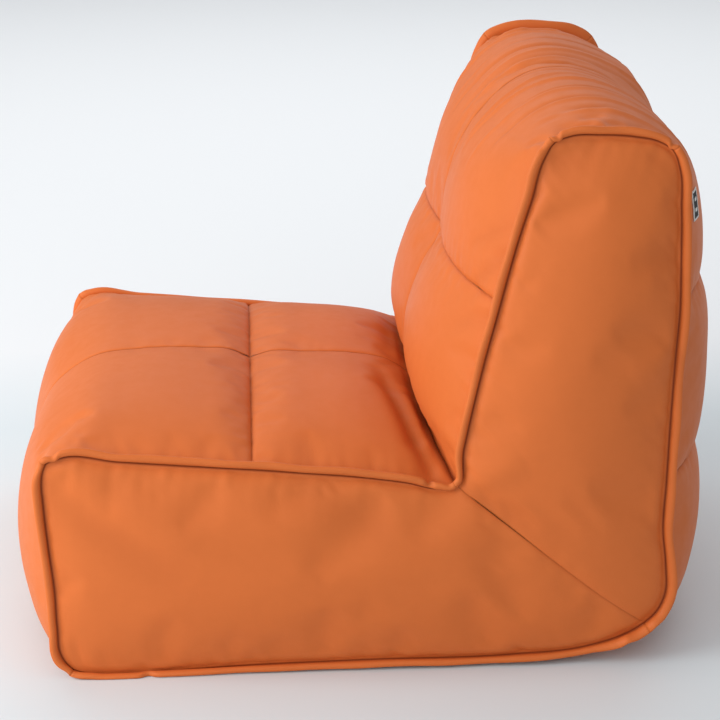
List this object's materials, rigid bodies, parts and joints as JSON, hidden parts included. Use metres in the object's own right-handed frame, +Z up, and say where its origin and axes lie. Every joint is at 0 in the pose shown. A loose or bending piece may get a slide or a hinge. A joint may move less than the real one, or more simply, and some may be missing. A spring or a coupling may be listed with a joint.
{
  "type": "bean bag chair",
  "caption": "L-shaped faux-leather bean bag lounge chair: seat and backrest of sewn panels, raised flange seams, bead-filled liners each side of a divider, and a zip in the base.",
  "frame": {"origin": "on the floor, at the middle of the chair's bounding box", "axes": "+Z up; the sitter faces -Y; +X is the sitter's left; the longest extent is along Y, front to rear"},
  "size_m": [0.746, 0.945, 0.765],
  "materials": {
    "cover_leather": "satin",
    "seam_leather": "satin",
    "liner_fabric": "matte",
    "foam_beads": "matte",
    "zip_tape": "matte",
    "zip_nylon": "matte",
    "zip_metal": "satin",
    "label_cloth": "matte"
  },
  "bodies": {
    "chair": {"back_bead_fill": "foam_beads", "back_liner": "liner_fabric", "divider_baffle": "liner_fabric", "left_backrest_flange": "seam_leather", "left_base_flange": "seam_leather", "left_base_panel": "cover_leather", "left_front_flange": "seam_leather", "left_front_seat_panel": "cover_leather", "left_lower_backrest_panel": "cover_leather", "left_rear_flange": "seam_leather", "left_rear_lower_panel": "cover_leather", "left_rear_middle_panel": "cover_leather", "left_rear_seat_panel": "cover_leather", "left_seat_flange": "seam_leather", "left_side_back_panel": "cover_leather", "left_side_seat_panel": "cover_leather", "left_top_flange": "seam_leather", "left_upper_backrest_panel": "cover_leather", "right_backrest_flange": "seam_leather", "right_base_flange": "seam_leather", "right_base_panel": "cover_leather", "right_front_flange": "seam_leather", "right_front_seat_panel": "cover_leather", "right_lower_backrest_panel": "cover_leather", "right_rear_flange": "seam_leather", "right_rear_lower_panel": "cover_leather", "right_rear_middle_panel": "cover_leather", "right_rear_seat_panel": "cover_leather", "right_seat_flange": "seam_leather", "right_side_back_panel": "cover_leather", "right_side_seat_panel": "cover_leather", "right_top_flange": "seam_leather", "right_upper_backrest_panel": "cover_leather", "seat_bead_fill": "foam_beads", "seat_liner": "liner_fabric", "woven_label": "label_cloth", "zip_coil_left": "zip_nylon", "zip_coil_right": "zip_nylon", "zip_front_stop": "zip_metal", "zip_guard": "liner_fabric", "zip_rear_stop": "zip_metal", "zip_tape_left": "zip_tape", "zip_tape_right": "zip_tape"},
    "slider": {"zip_slider": "zip_metal"},
    "pull": {"zip_pull": "zip_metal"}
  },
  "joints": [
    {"name": "zip_slide", "type": "slide", "parent": "chair", "child": "slider", "axis": [0, 1, 0], "range_m": [0, 0.48]},
    {"name": "pull_swing", "type": "hinge", "parent": "slider", "child": "pull", "pos_m": [0, -0.2425, 0.0021], "axis": [-1, 0, 0], "range_deg": [0, 165]}
  ]
}
